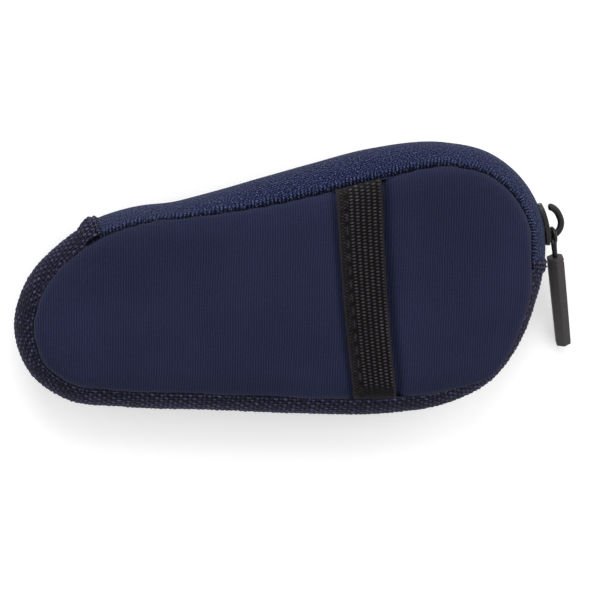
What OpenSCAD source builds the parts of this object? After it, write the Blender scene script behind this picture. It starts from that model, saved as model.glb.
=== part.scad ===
// Soft zipped carrying case for headphones, lying on its back panel.
// Two padded panels face each other across a gusset. The gusset is nylon webbing round the left end,
// the bottom and the lower right, and a reverse coil zip along the top and round the right-hand lobe.
// Frame: +Z up through the front panel, +X along the case towards the lobe, +Y towards the zip.
// The origin is the middle of the flat face that the case lies on.

/* [Panels] */
// Distance from the flat back face to the front face
case_depth = 30; // [30:0.5:31]
// Thickness of each padded panel
panel_thick = 5; // [5:0.1:5.2]
// Thickness of the knitted cover over the foam
cover_thick = 1; // [0.8:0.1:1.2]
// Thickness of the inside lining
lining_thick = 0.55; // [0.4:0.05:0.6]

/* [Lobe] */
// Radius of the round right-hand end at mid depth
lobe_r = 29.1; // [28.9:0.1:29.3]
// Lobe centre along X
lobe_x = 44.1; // [43.6:0.1:44.6]
// Lobe centre along Y
lobe_y = 9; // [8.5:0.1:9.5]

/* [Gusset] */
// Thickness of the basket-weave webbing
webbing_thick = 1.4; // [1:0.1:1.6]
// Thickness of the zip tapes
tape_thick = 0.7; // [0.5:0.1:0.8]
// Radial thickness of the zip coil
coil_thick = 1.7; // [1.4:0.1:1.8]
// Width of one half of the zip coil
coil_w = 2.6; // [2.2:0.1:2.8]
// Half of the space between the two halves of the zip
zip_gap = 0.85; // [0.8:0.05:1]

/* [Strap] */
// Thickness of the elastic strap
strap_thick = 1.3; // [1:0.1:1.4]
// Space between the strap and the panel
strap_gap = 0.15; // [0.1:0.05:0.2]

/* [Slider] */
// Where the slider is parked, as an angle round the lobe
slider_angle = 13; // [12:1:14]
// Length of the slider's plates along the zip
slider_len = 11.8; // [11:0.1:12]
// Width of the slider's plates across the zip
slider_w = 8.4; // [8:0.1:8.6]
// Thickness of the slider's plates
plate_thick = 1.2; // [1:0.1:1.2]
// Radius of the open hook, to the middle of its wire
hook_r = 3.8; // [3.8:0.05:4]
// Radius of the hook's wire
hook_wire_r = 0.95; // [0.9:0.05:0.95]

/* [Puller] */
// Where the puller hangs on the hook, as an angle round the hook
eye_angle = -64; // [-65:1:-62]
// Radius of the puller's eye, to the middle of its wire
eye_r = 2; // [1.95:0.05:2.05]
// Radius of the eye's wire
eye_wire_r = 0.6; // [0.55:0.05:0.6]
// Length of the six-sided grip
grip_len = 28.8; // [27:0.1:29]
// Width of the grip across its corners
grip_w = 5.2; // [5:0.1:5.4]
// How far the puller droops below level, in degrees
grip_droop = 20; // [19:1:20]

/* [Hidden] */

NAVY = [0.15, 0.16, 0.25];
DARK_NAVY = [0.11, 0.12, 0.20];
TAPE_BLUE = [0.20, 0.22, 0.34];
SOOT = [0.13, 0.12, 0.13];
GUNMETAL = [0.20, 0.20, 0.21];
GREY_FOAM = [0.35, 0.35, 0.36];

mid_z = case_depth / 2;
seam_z = case_depth - panel_thick;      // inner plane of the front panel, where its seam lies
half_gap = seam_z - mid_z;              // from mid depth to a seam

// The outline at mid depth, clockwise from the left end of the zip. Each point is [x, y, how far the
// panels' seams lie inside it]. The round lobe is an arc.
LOBE_ARC = [for (a = [90:-24:-6]) [lobe_x + lobe_r * cos(a), lobe_y + lobe_r * sin(a), 6.2]];
OUTLINE = concat(
    [[-52.4, 15.9, 4.5], [-41, 19.7, 4.2], [-22.1, 23.3, 5.2], [-8.1, 27.4, 7], [5.9, 31.5, 7.7],
     [22.9, 36.1, 7.8]],
    LOBE_ARC,
    [[70.6, -6.3, 4.1], [66.6, -17.6, 4.6], [58.5, -28.8, 5], [46, -35.3, 5.6], [30, -38, 6],
     [5, -38.1, 6.2], [-20, -37, 6.2], [-45, -36, 6.2], [-60, -34, 6.2], [-70, -26.8, 6],
     [-74.5, -13.5, 6], [-70.5, 0, 5.3], [-61, 10.2, 4.7]]);
COUNT = len(OUTLINE);
ZIP_START = 0;                          // outline point at the zip's left end
ZIP_END = 10;                           // and at its right end
STEPS = 4;                              // stations between two outline points

// A smooth closed curve through the outline's points, by cubic pieces with chord-weighted slopes
function knot(i) = OUTLINE[(i + COUNT) % COUNT];
function chord(i) = norm([knot(i + 1).x - knot(i).x, knot(i + 1).y - knot(i).y]);
function slope(i) =
    let (a = chord(i - 1), b = chord(i))
    ((knot(i) - knot(i - 1)) * b / a + (knot(i + 1) - knot(i)) * a / b) / (a + b);
function edge(t) =
    let (i = floor(t), u = t - i, h = chord(i))
    knot(i) * (2 * u^3 - 3 * u^2 + 1) + slope(i) * h * (u^3 - 2 * u^2 + u)
    + knot(i + 1) * (3 * u^2 - 2 * u^3) + slope(i + 1) * h * (u^3 - u^2);
function edge_dir(t) =
    let (i = floor(t), u = t - i, h = chord(i))
    knot(i) * (6 * u^2 - 6 * u) + slope(i) * h * (3 * u^2 - 4 * u + 1)
    + knot(i + 1) * (6 * u - 6 * u^2) + slope(i + 1) * h * (3 * u^2 - 2 * u);

// A point beside the outline: moved outwards by out, at height z
function beside(t, out, z) =
    let (p = edge(t), d = edge_dir(t), n = [-d.y, d.x] / norm([d.x, d.y]))
    [p.x + n.x * out, p.y + n.y * out, z];

// The gusset bulges outwards in an arc between the two seams. A point of it is given by its distance
// along the arc from mid depth, towards the front when positive, and its depth under the outer face.
function gusset_r(t) = let (s = edge(t)[2]) (half_gap^2 + s^2) / (2 * s);
function gusset_reach(t) = gusset_r(t) * asin(half_gap / gusset_r(t)) * PI / 180;
function on_gusset(t, along, depth) =
    let (r = gusset_r(t), a = along / r * 180 / PI)
    beside(t, (r - depth) * cos(a) - r, mid_z + (r - depth) * sin(a));

// A point on the padded edge of the front panel, where a runs from 0 at the seam to 90 on the flat face
function on_pad(t, a, raise) =
    let (r = panel_thick + raise)
    beside(t, -(edge(t)[2] + panel_thick - r * cos(a)), seam_z + r * sin(a));

// Stations from one place on the outline to another, with the outline's own stations between them
function stations(from, to) = concat(
    [from], [for (k = [floor(from * STEPS) + 1:ceil(to * STEPS) - 1]) k / STEPS], [to]);
LOOP = [for (k = [0:COUNT * STEPS - 1]) k / STEPS];

// The front panel folds along the line between the two ends of the zip
fold_from = beside(ZIP_START, -edge(ZIP_START)[2], 0);
fold_to = beside(ZIP_END, -edge(ZIP_END)[2], 0);
fold_angle = atan2(fold_to.y - fold_from.y, fold_to.x - fold_from.x);
FOLD_GAP = 0.4;
UNDER_TAPE = 0.16;                      // room for the tape's flat facets over the coil

// A closed solid through rings of equal count, each clockwise as seen from the last one. The rings of a
// strip run along its outer side and back along its inner side, so its ends are cut into quads.
module loft(rings, strip = false) {
    n = len(rings[0]);
    last = len(rings) - 1;
    polyhedron(
        points = [for (ring = rings) for (p = ring) p],
        faces = concat(
            [for (i = [0:last - 1]) for (j = [0:n - 1])
                [i * n + j, i * n + (j + 1) % n, (i + 1) * n + (j + 1) % n, (i + 1) * n + j]],
            strip
                ? [for (i = [0, last]) for (j = [0:n / 2 - 2])
                    let (quad = [i * n + j, i * n + j + 1, i * n + n - 2 - j, i * n + n - 1 - j])
                    i > 0 ? quad : [for (k = [3:-1:0]) quad[k]]]
                : [[for (j = [n - 1:-1:0]) j], [for (j = [0:n - 1]) last * n + j]]),
        convexity = 6);
}

// A ring of the gusset's section: its outer face from front to back, then its inner face
function section(t, low, high, depth, thick, parts) = concat(
    [for (k = [parts:-1:0]) on_gusset(t, low + (high - low) * k / parts, depth)],
    [for (k = [0:parts]) on_gusset(t, low + (high - low) * k / parts, depth + thick)]);

// What lies on one side of the fold: side is 1 for the mouth, -1 for the rest of the case. What it cuts
// is faceted, and resize, which changes nothing at size 0, keeps the cut faceted and closed too.
module fold_side(side) {
    resize([0, 0, 0])
        intersection() {
            children();
            translate([fold_from.x, fold_from.y, 0])
                rotate([0, 0, fold_angle])
                    translate([-100, side > 0 ? FOLD_GAP / 2 : -100 - FOLD_GAP / 2, 0])
                        cube([300, 100, case_depth + 5]);
        }
}

module to_back() {
    translate([0, 0, case_depth])
        mirror([0, 0, 1])
            children();
}

module front_cover() {
    inner = [for (a = [90:-22.5:0]) [for (t = LOOP) on_pad(t, a, -cover_thick)]];
    outer = [for (a = [0:22.5:90]) [for (t = LOOP) on_pad(t, a, 0)]];
    loft(concat(inner, outer));
}

module front_foam() {
    slack = 0.08;
    loft([for (a = [10, 22.5, 45, 67.5, 90]) [for (t = LOOP) on_pad(t, a, -cover_thick - slack)]]);
}

module front_lining() {
    translate([0, 0, seam_z])
        linear_extrude(lining_thick)
            polygon([for (t = LOOP) let (p = on_pad(t, 0, -cover_thick - 0.1)) [p.x, p.y]]);
}

// The bias binding that wraps the seam allowance inside, flat along the seam
module binding(times) {
    near = 0.8;
    far = 5.8;
    thick = 1.4;
    loft([for (t = times) let (s = edge(t)[2])
        [beside(t, -s - near, seam_z - 0.1), beside(t, -s - near, seam_z - thick),
         beside(t, -s - far, seam_z - thick), beside(t, -s - far, seam_z - 0.1)]]);
}

module strap() {
    // Where the strap's left and right edges meet the seam, as places on the outline
    top = [4.235, 5];
    bottom = [15.47, 14.96];
    function ring(places, a) = let (
        low = [for (t = places) on_pad(t, a, strap_gap)],
        high = [for (t = places) on_pad(t, a, strap_gap + strap_thick)])
        [high[1], high[0], low[0], low[1]];
    loft(concat(
        [for (a = [12:13:90]) ring(bottom, a)],
        [for (a = [90:-13:12]) ring(top, a)]));
}

module slider_arc(r_in, r_out, half_w, from, to) {
    translate([lobe_x, lobe_y, mid_z])
        rotate([0, 0, slider_angle + from])
            rotate_extrude(angle = to - from, $fn = 180)
                translate([r_in, -half_w])
                    square([r_out - r_in, 2 * half_w]);
}

outer_face_r = lobe_r + 0.25 + plate_thick;
inner_top_r = lobe_r - tape_thick - coil_thick - 0.85;
plate_half_angle = slider_len / 2 / lobe_r * 180 / PI;

module at_hook() {
    translate([lobe_x, lobe_y, mid_z])
        rotate([0, 0, slider_angle])
            translate([outer_face_r, 0, 0])
                children();
}

eye_local = eye_angle - slider_angle;
eye_x = lobe_x + outer_face_r * cos(slider_angle) + hook_r * cos(eye_angle);
eye_y = lobe_y + outer_face_r * sin(slider_angle) + hook_r * sin(eye_angle);
grip_heading = -77;                     // direction of the puller in plan
stem_len = 6.8;                         // from the eye's middle to the grip

// Places a solid whose length runs along +X from the eye, drooping towards the surface below
module along_puller(from) {
    translate([eye_x, eye_y, mid_z])
        rotate([0, 0, grip_heading])
            rotate([0, grip_droop, 0])
                translate([from, 0, 0])
                    rotate([0, 90, 0])
                        children();
}

module back_panel_cover() { color(NAVY) to_back() front_cover(); }
module back_panel_foam() { color(GREY_FOAM) to_back() front_foam(); }
module back_panel_lining() { color(SOOT) to_back() front_lining(); }
module front_cover_lower() { color(NAVY) fold_side(-1) front_cover(); }
module front_foam_lower() { color(GREY_FOAM) fold_side(-1) front_foam(); }
module front_lining_lower() { color(SOOT) fold_side(-1) front_lining(); }
module front_cover_upper() { color(NAVY) fold_side(1) front_cover(); }
module front_foam_upper() { color(GREY_FOAM) fold_side(1) front_foam(); }
module front_lining_upper() { color(SOOT) fold_side(1) front_lining(); }

module gusset_webbing() {
    color(DARK_NAVY)
        loft([for (t = stations(ZIP_END, COUNT))
            section(t, -gusset_reach(t), gusset_reach(t), 0, webbing_thick, 8)], true);
}

// The webbing's end, folded back over the zip tape and stitched down
module webbing_fold_left() {
    color(DARK_NAVY)
        loft([for (t = [-0.5, -0.25, 0, 0.05])
            section(t, -gusset_reach(t) * 0.93, gusset_reach(t) * 0.93, -1.4, 1.2, 6)], true);
}

module webbing_fold_right() {
    color(DARK_NAVY)
        loft([for (t = [ZIP_END + 0.02, ZIP_END + 0.15, ZIP_END + 0.3])
            section(t, -gusset_reach(t) * 0.93, gusset_reach(t) * 0.93, -0.95, 0.7, 6)], true);
}

module zip_tape_front() {
    color(TAPE_BLUE)
        loft([for (t = stations(ZIP_START + 0.25, ZIP_END - 0.1))
            section(t, zip_gap, gusset_reach(t), 0, tape_thick, 4)], true);
}

module zip_tape_back() {
    color(TAPE_BLUE)
        loft([for (t = stations(ZIP_START + 0.02, ZIP_END - 0.02))
            section(t, -gusset_reach(t), -zip_gap, 0, tape_thick, 4)], true);
}

module coil_half(low, high) {
    color(SOOT)
        loft([for (t = stations(ZIP_START + 0.5, ZIP_END - 0.25))
            section(t, low, high, tape_thick + UNDER_TAPE, coil_thick, 2)], true);
}

module zip_coil_front() { coil_half(zip_gap, zip_gap + coil_w); }
module zip_coil_back() { coil_half(-zip_gap - coil_w, -zip_gap); }

// A moulded stop across the end of the coil, on the back tape
module zip_stop(from, to) {
    color(SOOT)
        loft([for (t = [from, to])
            section(t, -zip_gap - coil_w, -0.1, tape_thick + UNDER_TAPE, coil_thick - 0.1, 2)], true);
}

module zip_stop_left() { zip_stop(ZIP_START + 0.28, ZIP_START + 0.46); }
module zip_stop_right() { zip_stop(ZIP_END - 0.2, ZIP_END - 0.05); }

module back_seam_binding() { color(SOOT) to_back() binding(stations(0.5, COUNT - 0.5)); }
module front_seam_binding_lower() { color(SOOT) binding(stations(ZIP_END + 0.5, COUNT - 0.5)); }
module front_seam_binding_upper() { color(SOOT) binding(stations(ZIP_START + 1, ZIP_END - 0.75)); }

module strap_lower() { color(SOOT) fold_side(-1) strap(); }
module strap_upper() { color(SOOT) fold_side(1) strap(); }

module slider_body() {
    color(GUNMETAL) {
        slider_arc(lobe_r + 0.25, outer_face_r, slider_w / 2, -plate_half_angle, plate_half_angle);
        slider_arc(inner_top_r - plate_thick, inner_top_r, slider_w / 2, -plate_half_angle, plate_half_angle);
        slider_arc(inner_top_r - 0.3, lobe_r + 0.6, 0.5, -plate_half_angle, -plate_half_angle / 3);
        at_hook()
            rotate([0, 0, -97])
                rotate_extrude(angle = 164, $fn = 96)
                    translate([hook_r, 0])
                        circle(r = hook_wire_r, $fn = 32);
    }
}

module puller_eye() {
    color(GUNMETAL) {
        at_hook()
            rotate([0, 0, eye_local])
                translate([hook_r, 0, 0])
                    rotate([0, 0, grip_heading - eye_angle])
                        rotate([90, 0, 0])
                            rotate_extrude($fn = 64)
                                translate([eye_r, 0])
                                    circle(r = eye_wire_r, $fn = 32);
        along_puller(eye_r)
            cylinder(r = 0.75, h = stem_len - eye_r, $fn = 32);
    }
}

module puller_grip() {
    color(SOOT)
        along_puller(stem_len)
            cylinder(d = grip_w, h = grip_len, $fn = 6);
}

back_panel_cover();
back_panel_foam();
back_panel_lining();
front_cover_lower();
front_foam_lower();
front_lining_lower();
front_cover_upper();
front_foam_upper();
front_lining_upper();
gusset_webbing();
webbing_fold_left();
webbing_fold_right();
zip_tape_back();
zip_tape_front();
zip_coil_back();
zip_coil_front();
zip_stop_left();
zip_stop_right();
back_seam_binding();
front_seam_binding_lower();
front_seam_binding_upper();
strap_lower();
strap_upper();
slider_body();
puller_eye();
puller_grip();
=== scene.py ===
# %% [markdown]
# # A soft zipped case, sewn piece by piece
# The case is two padded knit panels with a gusset between them: webbing round the left end and the
# bottom, a reverse coil zip over the top and the round lobe. The imported model gives the sizes, the
# bodies and the joints. Each piece here is a shaped primitive; the back's pieces, the webbing, the
# slider and the puller ride on those bodies, and the front's pieces stay where they are made.

# %% Load the frame
import bpy
import math
from functools import lru_cache
from mathutils import Matrix, Vector, noise


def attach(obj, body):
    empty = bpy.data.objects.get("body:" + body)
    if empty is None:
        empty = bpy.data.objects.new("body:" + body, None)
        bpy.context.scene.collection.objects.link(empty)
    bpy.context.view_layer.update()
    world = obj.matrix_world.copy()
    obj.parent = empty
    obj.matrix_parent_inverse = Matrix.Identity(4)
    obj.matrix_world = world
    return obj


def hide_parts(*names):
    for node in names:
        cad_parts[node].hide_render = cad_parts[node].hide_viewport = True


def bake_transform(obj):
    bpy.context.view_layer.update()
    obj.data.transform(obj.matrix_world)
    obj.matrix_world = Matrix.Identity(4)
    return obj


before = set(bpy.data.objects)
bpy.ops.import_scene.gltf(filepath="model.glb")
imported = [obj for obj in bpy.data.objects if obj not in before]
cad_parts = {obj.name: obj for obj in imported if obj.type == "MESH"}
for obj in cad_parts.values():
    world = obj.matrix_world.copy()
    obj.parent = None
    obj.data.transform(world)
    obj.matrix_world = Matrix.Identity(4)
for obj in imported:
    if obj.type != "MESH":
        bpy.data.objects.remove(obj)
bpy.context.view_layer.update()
MM = 0.001
scene = bpy.context.scene

# %% [markdown]
# ## Camera, light and floor
# The case lies on a pale floor and the camera looks almost straight down on it, leaning a little
# from the upper left. The framing comes first, so that every later piece can be judged in it.

# %% Camera
LOOK_AT = Vector((4.15, -6.15, 15)) * MM
VIEW_WIDTH = 167.2 * MM
CAMERA_ROLL = math.radians(0.9)
CAMERA_REACH = 420 * MM
LEAN = Vector((-0.10, 0.125, 1.0)).normalized()
camera_data = bpy.data.cameras.new("camera")
camera = bpy.data.objects.new("camera", camera_data)
scene.collection.objects.link(camera)
camera_right = Vector((math.sin(-CAMERA_ROLL), math.cos(CAMERA_ROLL), 0)).cross(LEAN).normalized()
camera_up = LEAN.cross(camera_right)
camera.matrix_world = Matrix.Translation(LOOK_AT + LEAN * CAMERA_REACH) @ Matrix(
    (camera_right, camera_up, LEAN)).transposed().to_4x4()
camera_data.sensor_width = 36
camera_data.lens = camera_data.sensor_width * CAMERA_REACH / VIEW_WIDTH
camera_data.clip_start = 0.01
scene.camera = camera
print("camera lens", round(camera_data.lens, 1))

# %% Floor and lights
scene.view_settings.view_transform = "Standard"
FLOOR_GREY = 0.92


def select_none():
    if bpy.context.object and bpy.context.object.mode != "OBJECT":
        bpy.ops.object.mode_set(mode="OBJECT")
    bpy.ops.object.select_all(action="DESELECT")


def plain_material(name, colour, roughness):
    material = bpy.data.materials.new(name)
    material.use_nodes = True
    shader = material.node_tree.nodes["Principled BSDF"]
    shader.inputs["Base Color"].default_value = (*colour, 1)
    shader.inputs["Roughness"].default_value = roughness
    return material


select_none()
bpy.ops.mesh.primitive_plane_add(size=3)
floor = bpy.context.object
floor.name = "floor"
glowing_floor_paper = plain_material("glowing_floor_paper", (FLOOR_GREY,) * 3, 0.9)
floor_shader = glowing_floor_paper.node_tree.nodes["Principled BSDF"]
# Painted light: the floor glows a little on its own (emission 0.25), which lightens the shadows cast on
# it.
floor_shader.inputs["Emission Color"].default_value = (1, 1, 1, 1)
floor_shader.inputs["Emission Strength"].default_value = 0.25
floor.data.materials.append(glowing_floor_paper)

world = bpy.data.worlds.new("studio")
world.use_nodes = True
world.node_tree.nodes["Background"].inputs["Color"].default_value = (1, 1, 1, 1)
world.node_tree.nodes["Background"].inputs["Strength"].default_value = 0.8
scene.world = world


def area_light(name, place, size, watts):
    data = bpy.data.lights.new(name, "AREA")
    data.size = size
    data.energy = watts
    light = bpy.data.objects.new(name, data)
    scene.collection.objects.link(light)
    light.location = place
    light.rotation_mode = "QUATERNION"
    light.rotation_quaternion = (LOOK_AT - Vector(place)).to_track_quat("-Z", "Y")


area_light("key_light", (-0.05, 0.46, 0.46), 0.35, 1.75)
area_light("fill_light", (0.45, 0.30, 0.40), 0.5, 0.9)

# %% [markdown]
# ## The outline
# Every sewn piece follows one outline, so its formula comes before any mesh: the same few points as
# the CAD model, with the lobe as an arc, joined by cubic pieces. Distances here are in millimetres
# and turn into metres only when a point is placed.

# %% Outline
DEPTH = 30.0
PANEL = 5.0
MIDDLE = DEPTH / 2
SEAM = DEPTH - PANEL
HALF_GAP = SEAM - MIDDLE
LOBE = (44.1, 9.0)
LOBE_R = 29.1
LOBE_ARC = [
    (LOBE[0] + LOBE_R * math.cos(math.radians(a)), LOBE[1] + LOBE_R * math.sin(math.radians(a)), 6.2)
    for a in (90, 66, 42, 18, -6)
]
OUTLINE = (
    [(-52.4, 15.9, 4.5), (-41, 19.7, 4.2), (-22.1, 23.3, 5.2), (-8.1, 27.4, 7), (5.9, 31.5, 7.7),
     (22.9, 36.1, 7.8)]
    + LOBE_ARC
    + [(70.6, -6.3, 4.1), (66.6, -17.6, 4.6), (58.5, -28.8, 5), (46, -35.3, 5.6), (30, -38, 6),
       (5, -38.1, 6.2), (-20, -37, 6.2), (-45, -36, 6.2), (-60, -34, 6.2), (-70, -26.8, 6),
       (-74.5, -13.5, 6), (-70.5, 0, 5.3), (-61, 10.2, 4.7)]
)
COUNT = len(OUTLINE)
ZIP_END = 10.0


def knot(i):
    return Vector(OUTLINE[i % COUNT])


def chord(i):
    return (knot(i + 1).xy - knot(i).xy).length


def slope(i):
    a, b = chord(i - 1), chord(i)
    return ((knot(i) - knot(i - 1)) * (b / a) + (knot(i + 1) - knot(i)) * (a / b)) / (a + b)


@lru_cache(maxsize=None)
def edge(t):
    """The outline's point and its outward normal at t. The point's third value is the seam's inset."""
    i = math.floor(t)
    u = t - i
    h = chord(i)
    p, q, m, k = knot(i), knot(i + 1), slope(i) * h, slope(i + 1) * h
    point = (p * (2 * u**3 - 3 * u**2 + 1) + m * (u**3 - 2 * u**2 + u)
             + q * (3 * u**2 - 2 * u**3) + k * (u**3 - u**2))
    way = (p * (6 * u**2 - 6 * u) + m * (3 * u**2 - 4 * u + 1)
           + q * (6 * u - 6 * u**2) + k * (3 * u**2 - 2 * u))
    return point, Vector((-way.y, way.x)).normalized()


def beside(t, out, z):
    point, normal = edge(t)
    return Vector((point.x + normal.x * out, point.y + normal.y * out, z)) * MM


def gusset_radius(t):
    inset = edge(t)[0].z
    return (HALF_GAP**2 + inset**2) / (2 * inset)


def gusset_reach(t):
    r = gusset_radius(t)
    return r * math.asin(HALF_GAP / r)


def sag(t):
    """The gusset hollows by 0.8 mm just past the left webbing end."""
    return 0.8 * math.exp(-((t - 1.45) / 0.35) ** 2)


def on_gusset(t, along, depth=0.0):
    """A point of the gusset's arc: along it from mid depth, and under its outer face."""
    r = gusset_radius(t)
    depth += sag(t)
    a = along / r
    return beside(t, (r - depth) * math.cos(a) - r, MIDDLE + (r - depth) * math.sin(a))


def on_pad(t, degrees, lift=0.0):
    """A point of the front panel's rolled edge, from 0 at the seam to 90 on the flat face."""
    a = math.radians(degrees)
    r = PANEL + lift
    return beside(t, -(edge(t)[0].z + PANEL - r * math.cos(a)), SEAM + r * math.sin(a))


# %% Distance along the outline
TABLE_STEPS = 40
table = [(0.0, 0.0)]
for step in range(1, COUNT * TABLE_STEPS + 1):
    t = step / TABLE_STEPS
    gap = (edge(t)[0].xy - edge(t - 1 / TABLE_STEPS)[0].xy).length
    table.append((table[-1][0] + gap, t))
PERIMETER = table[-1][0]


def distance_at(t):
    return table[round(t * TABLE_STEPS)][0]


@lru_cache(maxsize=None)
def t_at(distance):
    """The outline's t at a distance in millimetres from the zip's left end."""
    d = distance % PERIMETER
    low, high = 0, len(table) - 1
    while high - low > 1:
        half = (low + high) // 2
        low, high = (half, high) if table[half][0] <= d else (low, half)
    a, b = table[low], table[high]
    return a[1] + (b[1] - a[1]) * (d - a[0]) / (b[0] - a[0])


ZIP_LENGTH = distance_at(ZIP_END)
print("perimeter", round(PERIMETER, 1), "mm, zip", round(ZIP_LENGTH, 1), "mm")

# %% [markdown]
# ## Helpers for modelling
# Most sewn pieces are strips, so one helper adds a grid primitive and carries its points to the
# strip's place. The grid brings its own UV map, which is scaled to millimetres, so a weave keeps its
# true size on every strip. Operators act on all that is selected, so each helper deselects first.


# %% Strips
def strip(name, columns, rows, place, width, height, close=False):
    """A grid carried by place(u, v), u and v from 0 to 1, with its UV map in millimetres."""
    select_none()
    bpy.ops.mesh.primitive_grid_add(x_subdivisions=columns, y_subdivisions=rows, size=2)
    piece = bpy.context.object
    piece.name = piece.data.name = name
    for vertex in piece.data.vertices:
        vertex.co = place((vertex.co.x + 1) / 2, (vertex.co.y + 1) / 2)
    for corner in piece.data.uv_layers[0].data:
        corner.uv = (corner.uv.x * width, corner.uv.y * height)
    if close:
        edit(piece, lambda: bpy.ops.mesh.remove_doubles(threshold=1e-6))
    return piece


def edit(piece, *operators):
    """Runs edit-mode operators on the whole of one piece."""
    select_none()
    bpy.context.view_layer.objects.active = piece
    piece.select_set(True)
    bpy.ops.object.mode_set(mode="EDIT")
    bpy.ops.mesh.select_all(action="SELECT")
    for operator in operators:
        operator()
    bpy.ops.object.mode_set(mode="OBJECT")


def apply_modifier(piece, kind, **settings):
    select_none()
    bpy.context.view_layer.objects.active = piece
    piece.select_set(True)
    modifier = piece.modifiers.new(kind.lower(), kind)
    for key, value in settings.items():
        setattr(modifier, key, value)
    bpy.ops.object.modifier_apply(modifier=modifier.name)


def face_out(piece):
    edit(piece, lambda: bpy.ops.mesh.normals_make_consistent(inside=False))


def smooth(piece, angle=50):
    select_none()
    bpy.context.view_layer.objects.active = piece
    piece.select_set(True)
    bpy.ops.object.shade_smooth_by_angle(angle=math.radians(angle))


def thicken(piece, thickness):
    apply_modifier(piece, "SOLIDIFY", thickness=thickness * MM, offset=-1.0)
    face_out(piece)


def fill_holes(piece):
    edit(piece,
         lambda: bpy.ops.mesh.select_all(action="DESELECT"),
         lambda: bpy.ops.mesh.select_non_manifold(),
         lambda: bpy.ops.mesh.edge_face_add())


def join(pieces, name):
    select_none()
    for piece in pieces:
        piece.select_set(True)
    bpy.context.view_layer.objects.active = pieces[0]
    bpy.ops.object.join()
    pieces[0].name = pieces[0].data.name = name
    return pieces[0]


def set_heights(piece, heights):
    """Stores one number per point, which a material reads as the attribute weave and turns into colour:
    painted shade where it is low, painted highlight where it is high.
    """
    layer = piece.data.attributes.new("weave", "FLOAT", "POINT")
    layer.data.foreach_set("value", heights)


def copies(name, pattern, places):
    """One mesh with a copy of the pattern's mesh at each 4x4 place. The pattern is then deleted."""
    points = [v.co.copy() for v in pattern.data.vertices]
    faces = [tuple(p.vertices) for p in pattern.data.polygons]
    all_points, all_faces = [], []
    for place in places:
        start = len(all_points)
        all_points += [place @ p for p in points]
        all_faces += [tuple(start + i for i in face) for face in faces]
    mesh = bpy.data.meshes.new(name)
    mesh.from_pydata(all_points, [], all_faces)
    piece = bpy.data.objects.new(name, mesh)
    scene.collection.objects.link(piece)
    bpy.data.objects.remove(pattern)
    face_out(piece)
    smooth(piece)
    return piece


def basis(origin, x_axis, y_axis, z_axis):
    """A 4x4 that carries local axes onto the given ones, which may be longer than 1."""
    return Matrix.Translation(origin) @ Matrix((x_axis, y_axis, z_axis)).transposed().to_4x4()


def bend_with_mouth(piece):
    """Bakes the piece's placement into its points; the piece does not bend with the mouth."""
    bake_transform(piece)


# %% [markdown]
# ## Materials
# Cloth is read mostly by its structure, so each material builds that structure from coordinates:
# ribs for the knit, twill for the zip tape, and for webbing and elastic the height of the weave that
# their meshes carry. Numbers that are the same all over sit on the shader's own sockets.


# %% Node helpers
class Recipe:
    """A material's nodes, added one after another."""

    def __init__(self, name, roughness, sheen=0.0, metallic=0.0, specular=0.5):
        self.material = bpy.data.materials.new(name)
        self.material.use_nodes = True
        self.tree = self.material.node_tree
        self.shader = self.tree.nodes["Principled BSDF"]
        self.shader.inputs["Roughness"].default_value = roughness
        self.shader.inputs["Sheen Weight"].default_value = sheen
        self.shader.inputs["Sheen Roughness"].default_value = 0.5
        self.shader.inputs["Metallic"].default_value = metallic
        self.shader.inputs["Specular IOR Level"].default_value = specular

    def node(self, kind, inputs=None, **settings):
        made = self.tree.nodes.new(kind)
        for key, value in settings.items():
            setattr(made, key, value)
        for key, value in (inputs or {}).items():
            if isinstance(value, bpy.types.NodeSocket):
                self.tree.links.new(value, made.inputs[key])
            else:
                made.inputs[key].default_value = value
        return made

    def math(self, operation, a, b=0.0, c=0.0):
        return self.node("ShaderNodeMath", {0: a, 1: b, 2: c}, operation=operation).outputs[0]

    def place(self, kind="Object"):
        """Object coordinates in metres, or the UV map in millimetres, as separate numbers."""
        if kind == "UV":
            source = self.node("ShaderNodeUVMap").outputs[0]
        else:
            source = self.node("ShaderNodeTexCoord").outputs["Object"]
        split = self.node("ShaderNodeSeparateXYZ", {0: source}).outputs
        return source, split[0], split[1], split[2]

    def wave(self, value, pitch):
        """A sine of the value with this pitch, from 0 to 1."""
        turned = self.math("SINE", self.math("MULTIPLY", value, 2 * math.pi / pitch))
        return self.math("MULTIPLY_ADD", turned, 0.5, 0.5)

    def noise(self, source, scale, detail=3.0, rough=0.6):
        made = self.node("ShaderNodeTexNoise",
                         {"Vector": source, "Scale": scale, "Detail": detail, "Roughness": rough})
        return made.outputs["Fac"]

    def ramp(self, value, stops):
        made = self.node("ShaderNodeValToRGB", {0: value})
        ramp = made.color_ramp
        while len(ramp.elements) < len(stops):
            ramp.elements.new(0.5)
        for element, (place, colour) in zip(ramp.elements, stops):
            element.position = place
            element.color = (*colour, 1)
        return made.outputs["Color"]

    def finish(self, colour, height, distance, strength=1.0):
        bump = self.node("ShaderNodeBump", {"Height": height, "Strength": strength, "Distance": distance})
        self.tree.links.new(colour, self.shader.inputs["Base Color"])
        self.tree.links.new(bump.outputs[0], self.shader.inputs["Normal"])
        return self.material


def srgb(red, green, blue):
    """A colour given as 0 to 255 screen values, in the linear values that shaders use."""
    return tuple(
        v / 255 / 12.92 if v / 255 <= 0.04045 else ((v / 255 + 0.055) / 1.055) ** 2.4
        for v in (red, green, blue)
    )


# %% [markdown]
# ### Rib knit
# The cover is a fine rib knit: upright wales two thirds of a millimetre apart, each a chain of small
# V stitches. Both come from Object coordinates, so they run straight over the rolled edges.


# %% Rib knit
RIB = 0.68 * MM
STITCH = 0.50 * MM


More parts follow.
